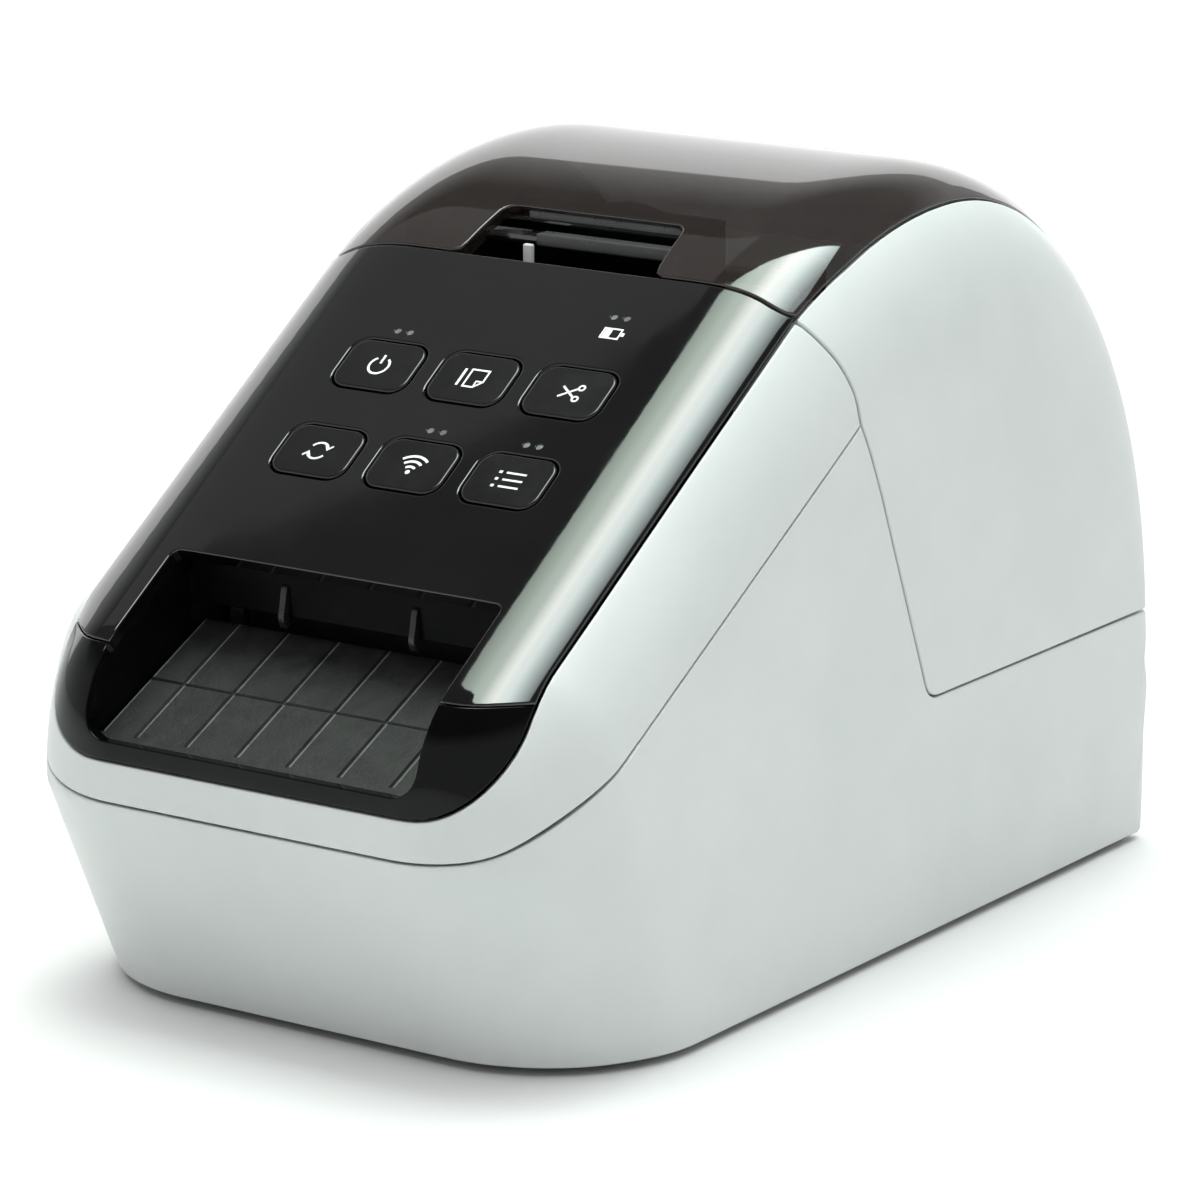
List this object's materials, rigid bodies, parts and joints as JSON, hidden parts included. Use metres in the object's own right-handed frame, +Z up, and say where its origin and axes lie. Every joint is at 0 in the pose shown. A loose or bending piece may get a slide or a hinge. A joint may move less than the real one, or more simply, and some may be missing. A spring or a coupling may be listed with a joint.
{
  "type": "label maker",
  "caption": "Desktop label maker with a sloping key panel, label mouth and tray, and a lifting roll cover over the label roll and thermal print mechanism.",
  "frame": {"origin": "on the table surface, under the middle of the casing's box", "axes": "+Z up, -Y towards the front with the label mouth, +X towards the right side seen from the front"},
  "size_m": [0.1254, 0.214, 0.1443],
  "materials": {
    "pearl_plastic": "pearl white moulded plastic with a satin sheen",
    "gloss_black": "polished black moulded plastic",
    "key_black": "black key caps with a fine satin face",
    "smoked_window": "smoked translucent plastic, polished",
    "tray_grey": "dark grey plastic with a fine spark texture",
    "black_plastic": "black moulded plastic with a light texture",
    "foot_rubber": "black rubber feet",
    "roller_rubber": "ground black silicone rubber",
    "gear_plastic": "natural white acetal",
    "brass": "machined brass",
    "head_ceramic": "glazed ceramic print head strip",
    "heatsink_aluminium": "extruded aluminium",
    "label_paper": "white coated label paper wound on a core",
    "core_card": "brown cardboard core",
    "board_green": "green lacquered circuit board",
    "chip_black": "black moulded electronic parts",
    "lamp_lens": "clear lamp lenses",
    "steel": "zinc plated and stainless steel"
  },
  "bodies": {
    "root": {"base_housing": "pearl_plastic", "bottom_plate": "black_plastic", "rubber_feet": "foot_rubber", "case_screws": "steel", "front_frame": "pearl_plastic", "control_panel": "gloss_black", "front_bezel": "gloss_black", "output_tray": "tray_grey", "exit_guides": "black_plastic", "roll_bay": "black_plastic", "left_side_plate": "steel", "right_side_plate": "steel", "platen_bushes": "gear_plastic", "idler_shaft": "steel", "feed_motor": "steel", "head_pivot_shaft": "steel", "head_springs": "steel", "spring_bridge": "steel", "fixed_blade": "steel", "cutter_bar": "steel", "cutter_motor": "steel", "key_board": "board_green", "key_switches": "steel", "lamp_lenses": "lamp_lens", "left_roll_flange": "black_plastic", "right_roll_flange": "black_plastic", "main_board": "board_green", "board_parts": "chip_black", "board_screws": "steel", "wireless_module": "board_green", "power_inlet": "black_plastic", "usb_socket": "steel", "hinge_brackets": "pearl_plastic", "hinge_pins": "steel", "cover_switch": "black_plastic"},
    "cover": {"cover_shell": "pearl_plastic", "cover_window": "smoked_window", "cover_grip": "gloss_black", "cover_screws": "steel", "cover_hinge_bar": "pearl_plastic"},
    "platen": {"platen_roller": "roller_rubber", "platen_shaft": "steel", "platen_gear": "gear_plastic"},
    "idler": {"idler_gear": "gear_plastic"},
    "pinion": {"motor_pinion": "brass"},
    "head": {"print_head": "head_ceramic", "head_heatsink": "heatsink_aluminium", "head_carrier": "steel"},
    "cutter": {"cutter_blade": "steel"},
    "cutter_drive": {"cutter_pinion": "brass"},
    "roll": {"label_roll": "label_paper", "roll_core": "core_card"},
    "power_key": {"power_key": "key_black"},
    "feed_key": {"feed_key": "key_black"},
    "cut_key": {"cut_key": "key_black"},
    "setup_key": {"setup_key": "key_black"},
    "wireless_key": {"wireless_key": "key_black"},
    "mode_key": {"mode_key": "key_black"}
  },
  "joints": [
    {"name": "cover_hinge", "type": "hinge", "parent": "root", "child": "cover", "pos_m": [0, 0.1044, 0.0485], "axis": [-1, 0, 0], "range_deg": [0, 75]},
    {"name": "head_lift", "type": "hinge", "parent": "root", "child": "head", "pos_m": [0, -0.024, 0.088], "axis": [-1, 0, 0], "range_deg": [0, 6], "deforming": ["head_springs"]},
    {"name": "platen_turn", "type": "hinge", "parent": "root", "child": "platen", "pos_m": [0, -0.046, 0.068], "axis": [1, 0, 0], "continuous": true},
    {"name": "idler_turn", "type": "hinge", "parent": "root", "child": "idler", "pos_m": [0, -0.0448, 0.04303], "axis": [1, 0, 0], "continuous": true},
    {"name": "pinion_turn", "type": "hinge", "parent": "root", "child": "pinion", "pos_m": [0, -0.058, 0.028], "axis": [1, 0, 0], "continuous": true},
    {"name": "cutter_slide", "type": "slide", "parent": "root", "child": "cutter", "axis": [0, 0, -1], "range_m": [0, 0.007]},
    {"name": "cutter_pinion_turn", "type": "hinge", "parent": "root", "child": "cutter_drive", "pos_m": [0, -0.06885, 0.07], "axis": [-1, 0, 0], "range_deg": [0, 81]},
    {"name": "roll_turn", "type": "hinge", "parent": "root", "child": "roll", "pos_m": [0, 0.054, 0.088], "axis": [1, 0, 0], "continuous": true},
    {"name": "power_key_press", "type": "slide", "parent": "root", "child": "power_key", "axis": [0, 0.5592, -0.829], "range_m": [0, 0.0008], "stiffness_N_per_m": 700},
    {"name": "feed_key_press", "type": "slide", "parent": "root", "child": "feed_key", "axis": [0, 0.5592, -0.829], "range_m": [0, 0.0008], "stiffness_N_per_m": 700},
    {"name": "cut_key_press", "type": "slide", "parent": "root", "child": "cut_key", "axis": [0, 0.5592, -0.829], "range_m": [0, 0.0008], "stiffness_N_per_m": 700},
    {"name": "setup_key_press", "type": "slide", "parent": "root", "child": "setup_key", "axis": [0, 0.5592, -0.829], "range_m": [0, 0.0008], "stiffness_N_per_m": 700},
    {"name": "wireless_key_press", "type": "slide", "parent": "root", "child": "wireless_key", "axis": [0, 0.5592, -0.829], "range_m": [0, 0.0008], "stiffness_N_per_m": 700},
    {"name": "mode_key_press", "type": "slide", "parent": "root", "child": "mode_key", "axis": [0, 0.5592, -0.829], "range_m": [0, 0.0008], "stiffness_N_per_m": 700}
  ],
  "couplings": [
    {"joint": "head_lift", "follows": "cover_hinge", "ratio": 0.08},
    {"joint": "idler_turn", "follows": "platen_turn", "ratio": -0.66667},
    {"joint": "pinion_turn", "follows": "platen_turn", "ratio": 2},
    {"joint": "cutter_pinion_turn", "follows": "cutter_slide", "rad_per_m": 200}
  ]
}
